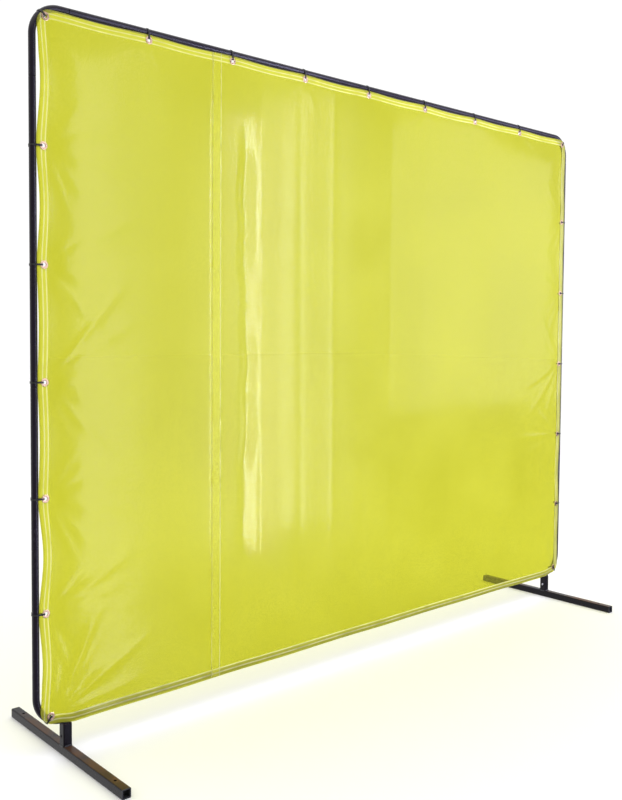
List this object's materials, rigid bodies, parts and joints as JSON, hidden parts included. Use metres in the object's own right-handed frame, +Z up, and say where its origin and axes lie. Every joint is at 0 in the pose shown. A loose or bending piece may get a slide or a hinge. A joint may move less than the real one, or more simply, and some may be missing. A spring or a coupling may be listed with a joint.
{
  "type": "welding curtain screen",
  "caption": "Free-standing welding screen: a round black tube frame on two floor feet holds a clear yellow vinyl curtain, tied to it through brass grommets.",
  "frame": {"origin": "on the floor, below the middle of the screen, in the plane of the frame tubes", "axes": "+X along the screen, +Y from the curtain's side to the back, +Z up"},
  "size_m": [2.4406, 0.613, 1.9548],
  "materials": {
    "frame_paint": "black powder coat, semi-gloss",
    "foot_paint": "black powder coat, semi-gloss",
    "weld_paint": "painted weld bead",
    "plug_plastic": "black moulded plastic",
    "button_steel": "bright zinc-plated steel",
    "spring_steel": "spring steel strip",
    "vinyl": "clear yellow-green vinyl sheet, glossy",
    "grommet_brass": "pale brass, polished",
    "tie_nylon": "black nylon strap"
  },
  "bodies": {
    "screen": {"elbow_top_left": "frame_paint", "elbow_top_right": "frame_paint", "elbow_bottom_right": "frame_paint", "elbow_bottom_left": "frame_paint", "top_tube_left": "frame_paint", "top_tube_right": "frame_paint", "right_tube_upper": "frame_paint", "right_tube_lower": "frame_paint", "bottom_tube_right": "frame_paint", "bottom_tube_left": "frame_paint", "left_tube_lower": "frame_paint", "left_tube_upper": "frame_paint", "foot_left": "foot_paint", "foot_right": "foot_paint", "post_left": "foot_paint", "post_right": "foot_paint", "stub_left": "foot_paint", "stub_right": "foot_paint", "post_weld_left": "weld_paint", "post_weld_right": "weld_paint", "stub_weld_left": "weld_paint", "stub_weld_right": "weld_paint", "plug_left_front": "plug_plastic", "plug_left_back": "plug_plastic", "plug_right_front": "plug_plastic", "plug_right_back": "plug_plastic", "button_spring_left": "spring_steel", "button_spring_right": "spring_steel", "curtain_panel_left": "vinyl", "curtain_panel_right": "vinyl", "grommets_top": "grommet_brass", "grommets_left": "grommet_brass", "grommets_right": "grommet_brass", "washers_top": "grommet_brass", "washers_left": "grommet_brass", "washers_right": "grommet_brass", "ties_top": "tie_nylon", "ties_left": "tie_nylon", "ties_right": "tie_nylon"},
    "left_button": {"button_left": "button_steel"},
    "right_button": {"button_right": "button_steel"}
  },
  "joints": [
    {"name": "press_left_button", "type": "slide", "parent": "screen", "child": "left_button", "axis": [-1, 0, 0], "range_m": [0, 0.005], "stiffness_N_per_m": 1500, "springref_m": -0.002, "deforming": ["button_spring_left"]},
    {"name": "press_right_button", "type": "slide", "parent": "screen", "child": "right_button", "axis": [1, 0, 0], "range_m": [0, 0.005], "stiffness_N_per_m": 1500, "springref_m": -0.002, "deforming": ["button_spring_right"]}
  ]
}
